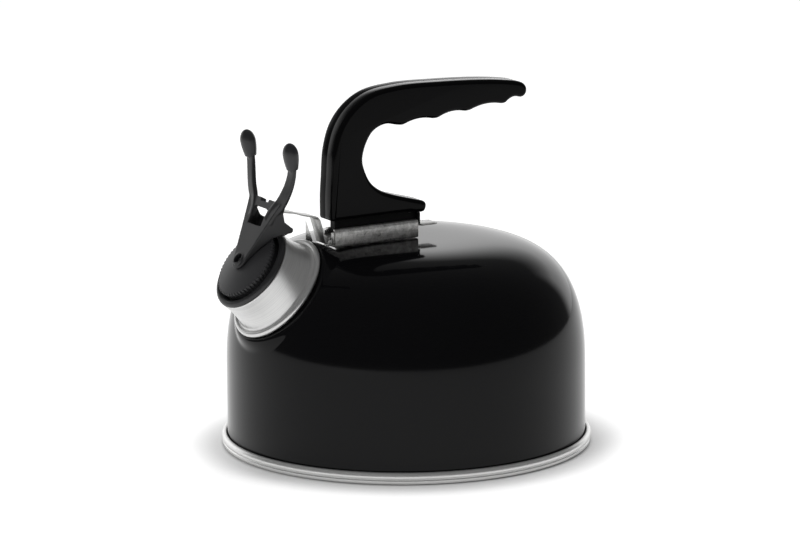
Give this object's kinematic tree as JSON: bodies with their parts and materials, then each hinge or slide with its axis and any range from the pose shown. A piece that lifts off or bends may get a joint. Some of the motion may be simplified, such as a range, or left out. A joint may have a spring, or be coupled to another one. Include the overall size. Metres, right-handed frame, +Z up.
{
  "type": "whistling camp kettle",
  "caption": "Low camp kettle with an enamelled body, a bright spout neck with a whistle flap worked by a finger fork, and a D handle on a channel.",
  "frame": {"origin": "centre of the flat underside of the base pan, on the surface the kettle stands on", "axes": "+Z up, the spout points to -X and the open side of the handle to +X, Y across the kettle"},
  "size_m": [0.1744, 0.165, 0.1624],
  "materials": {
    "enamel": "glossy black enamel",
    "bright_steel": "bright, finely brushed",
    "sheet_steel": "scuffed plated sheet",
    "spring_steel": "bare spring strip",
    "matte_black": "matte black moulding",
    "gloss_black": "glossy black moulding",
    "seal_rubber": "matte black rubber"
  },
  "bodies": {
    "root": {"body_shell": "enamel", "base_pan": "bright_steel", "spout_neck": "bright_steel", "spout_gasket": "seal_rubber", "spout_clamp_ring": "sheet_steel", "whistle_collar": "matte_black", "collar_seal": "seal_rubber", "hinge_pin": "bright_steel", "handle_bracket": "sheet_steel", "bracket_liner": "bright_steel", "bracket_rivet_1": "bright_steel", "bracket_rivet_2": "bright_steel", "bracket_backing_plate": "sheet_steel"},
    "flap": {"whistle_cover": "matte_black", "whistle_plate": "sheet_steel", "whistle_seal": "seal_rubber", "whistle_lever": "matte_black", "lever_tip_left": "matte_black", "lever_tip_right": "matte_black"},
    "handle": {"handle_grip": "gloss_black", "handle_rail": "matte_black", "handle_screw_1": "bright_steel", "handle_screw_2": "bright_steel"},
    "leaf": {"leaf_spring": "spring_steel"}
  },
  "joints": [
    {"name": "flap_hinge", "type": "hinge", "parent": "root", "child": "flap", "pos_m": [-0.06448, 0, 0.10483], "axis": [0, 1, 0], "range_deg": [0, 56]},
    {"name": "handle_slide", "type": "slide", "parent": "root", "child": "handle", "axis": [1, 0, 0], "range_m": [0, 0.04]},
    {"name": "leaf_flex", "type": "hinge", "parent": "root", "child": "leaf", "pos_m": [-0.0422, 0, 0.0951], "axis": [0, 1, 0], "range_deg": [0, 2]}
  ]
}
